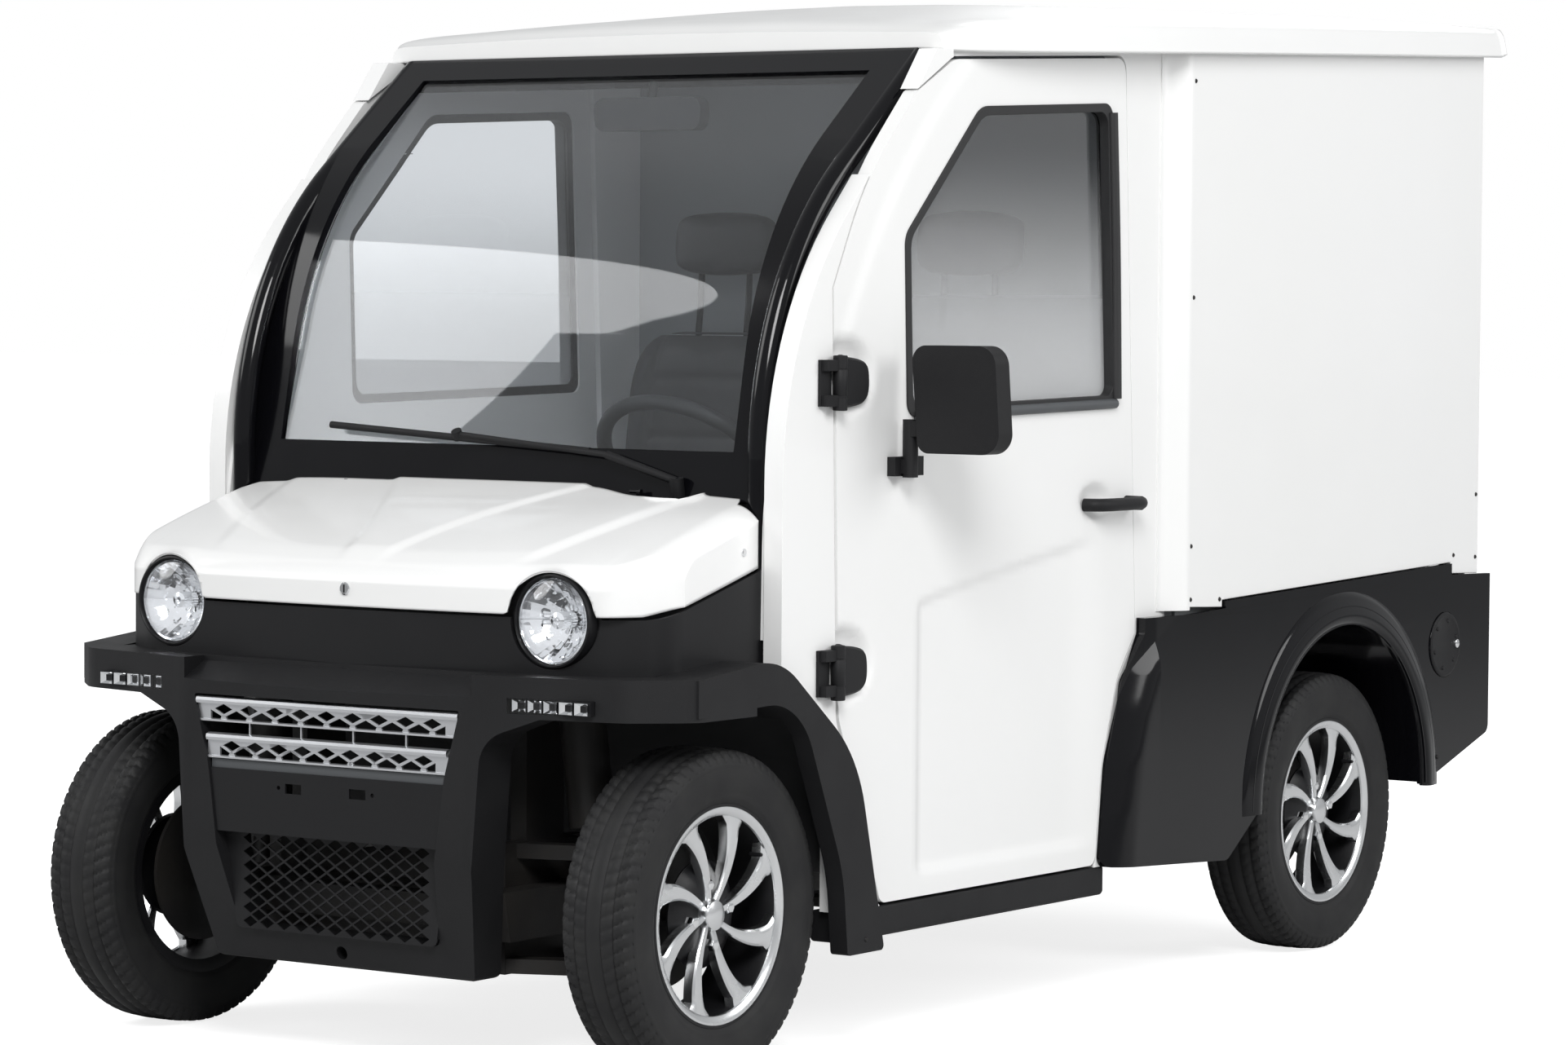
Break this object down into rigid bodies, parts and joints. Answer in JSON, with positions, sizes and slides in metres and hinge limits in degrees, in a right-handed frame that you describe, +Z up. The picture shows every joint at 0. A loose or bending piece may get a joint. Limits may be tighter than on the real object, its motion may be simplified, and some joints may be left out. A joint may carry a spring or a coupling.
{
  "type": "small electric delivery van",
  "caption": "Compact four-wheeled electric cargo van with a cab, curved windscreen, side and rear doors and a closed box body.",
  "frame": {"origin": "on the ground, at the middle of the overall length and width", "axes": "+X to the vehicle's left, +Y to its rear, +Z up"},
  "size_m": [1.6432, 2.87, 1.8219],
  "materials": {
    "white_panel": "gloss white paint",
    "black_trim": "grained black moulding",
    "gloss_black": "gloss black",
    "steel_black": "black chassis paint",
    "silver": "machined silver",
    "tyre": "tread rubber",
    "glass": "tinted glass",
    "lamp": "clear lamp",
    "red_lamp": "red lamp",
    "seal": "black rubber",
    "seat": "dark seat cover",
    "interior": "dark interior",
    "liner": "grey liner",
    "battery": "battery case"
  },
  "bodies": {
    "chassis": {"roof": "white_panel", "chassis_frame": "steel_black", "front_suspension": "steel_black", "rear_axle": "steel_black", "cab_floor": "interior", "bulkhead": "liner", "sills": "black_trim", "battery_block": "battery", "cab_sides": "white_panel", "windscreen_frame": "gloss_black", "windscreen": "glass", "hinge_posts": "black_trim", "nose_panel": "black_trim", "headlamps": "lamp", "front_bumper": "black_trim", "running_lamps": "lamp", "grille": "silver", "plate_carrier": "black_trim", "intake_mesh": "black_trim", "seat_cushions": "seat", "seat_backs": "seat", "dashboard": "interior", "steering_column": "interior", "interior_mirror": "interior", "wiper": "black_trim", "cargo_sides": "white_panel", "cargo_floor": "liner", "rear_portal": "white_panel", "tail_lamps": "red_lamp", "rear_fenders": "gloss_black", "rear_bumper": "black_trim"},
    "bonnet": {"bonnet": "white_panel"},
    "steering_wheel": {"steering_wheel": "interior"},
    "charging_lid": {"charging_lid": "gloss_black"},
    "rear_door_left": {"rear_door_left": "white_panel"},
    "rear_door_right": {"rear_door_right": "white_panel"},
    "door_left": {"door_left": "white_panel", "door_left_glass": "glass", "door_left_seal": "seal", "door_left_fittings": "black_trim", "door_left_mirror": "black_trim"},
    "knuckle_left": {"knuckle_left": "steel_black"},
    "wheel_front_left": {"tyre_front_left": "tyre", "rim_front_left": "silver"},
    "wheel_rear_left": {"tyre_rear_left": "tyre", "rim_rear_left": "silver"},
    "door_right": {"door_right": "white_panel", "door_right_glass": "glass", "door_right_seal": "seal", "door_right_fittings": "black_trim", "door_right_mirror": "black_trim"},
    "knuckle_right": {"knuckle_right": "steel_black"},
    "wheel_front_right": {"tyre_front_right": "tyre", "rim_front_right": "silver"},
    "wheel_rear_right": {"tyre_rear_right": "tyre", "rim_rear_right": "silver"}
  },
  "joints": [
    {"name": "steer_left", "type": "hinge", "parent": "chassis", "child": "knuckle_left", "pos_m": [0.44, -1.165, 0.266], "axis": [0, 0, 1], "range_deg": [-30, 30]},
    {"name": "steer_right", "type": "hinge", "parent": "chassis", "child": "knuckle_right", "pos_m": [-0.44, -1.165, 0.266], "axis": [0, 0, 1], "range_deg": [-30, 30]},
    {"name": "spin_front_left", "type": "hinge", "parent": "knuckle_left", "child": "wheel_front_left", "pos_m": [0.54, -1.165, 0.266], "axis": [1, 0, 0], "continuous": true},
    {"name": "spin_front_right", "type": "hinge", "parent": "knuckle_right", "child": "wheel_front_right", "pos_m": [-0.54, -1.165, 0.266], "axis": [1, 0, 0], "continuous": true},
    {"name": "spin_rear_left", "type": "hinge", "parent": "chassis", "child": "wheel_rear_left", "pos_m": [0.54, 0.835, 0.266], "axis": [1, 0, 0], "continuous": true},
    {"name": "spin_rear_right", "type": "hinge", "parent": "chassis", "child": "wheel_rear_right", "pos_m": [-0.54, 0.835, 0.266], "axis": [1, 0, 0], "continuous": true},
    {"name": "steering_wheel_turn", "type": "hinge", "parent": "chassis", "child": "steering_wheel", "pos_m": [0.255, -0.765, 0.951], "axis": [0, 0.7071, 0.7071], "range_deg": [-360, 360]},
    {"name": "bonnet_hinge", "type": "hinge", "parent": "chassis", "child": "bonnet", "pos_m": [0, -0.999, 0.926], "axis": [-1, 0, 0], "range_deg": [0, 48]},
    {"name": "door_left_hinge", "type": "hinge", "parent": "chassis", "child": "door_left", "pos_m": [0.622, -0.873, 0.872], "axis": [0, 0, -1], "range_deg": [0, 65]},
    {"name": "door_right_hinge", "type": "hinge", "parent": "chassis", "child": "door_right", "pos_m": [-0.622, -0.873, 0.872], "axis": [0, 0, 1], "range_deg": [0, 65]},
    {"name": "rear_door_left_hinge", "type": "hinge", "parent": "chassis", "child": "rear_door_left", "pos_m": [0.584, 1.393, 1.2], "axis": [0, 0, -1], "range_deg": [0, 110]},
    {"name": "rear_door_right_hinge", "type": "hinge", "parent": "chassis", "child": "rear_door_right", "pos_m": [-0.584, 1.393, 1.2], "axis": [0, 0, 1], "range_deg": [0, 110]},
    {"name": "charging_lid_hinge", "type": "hinge", "parent": "chassis", "child": "charging_lid", "pos_m": [0.65, 1.167, 0.567], "axis": [0, 0, -1], "range_deg": [0, 95]}
  ],
  "couplings": [
    {"joint": "steer_right", "follows": "steer_left", "ratio": 1},
    {"joint": "steering_wheel_turn", "follows": "steer_left", "ratio": 12}
  ]
}
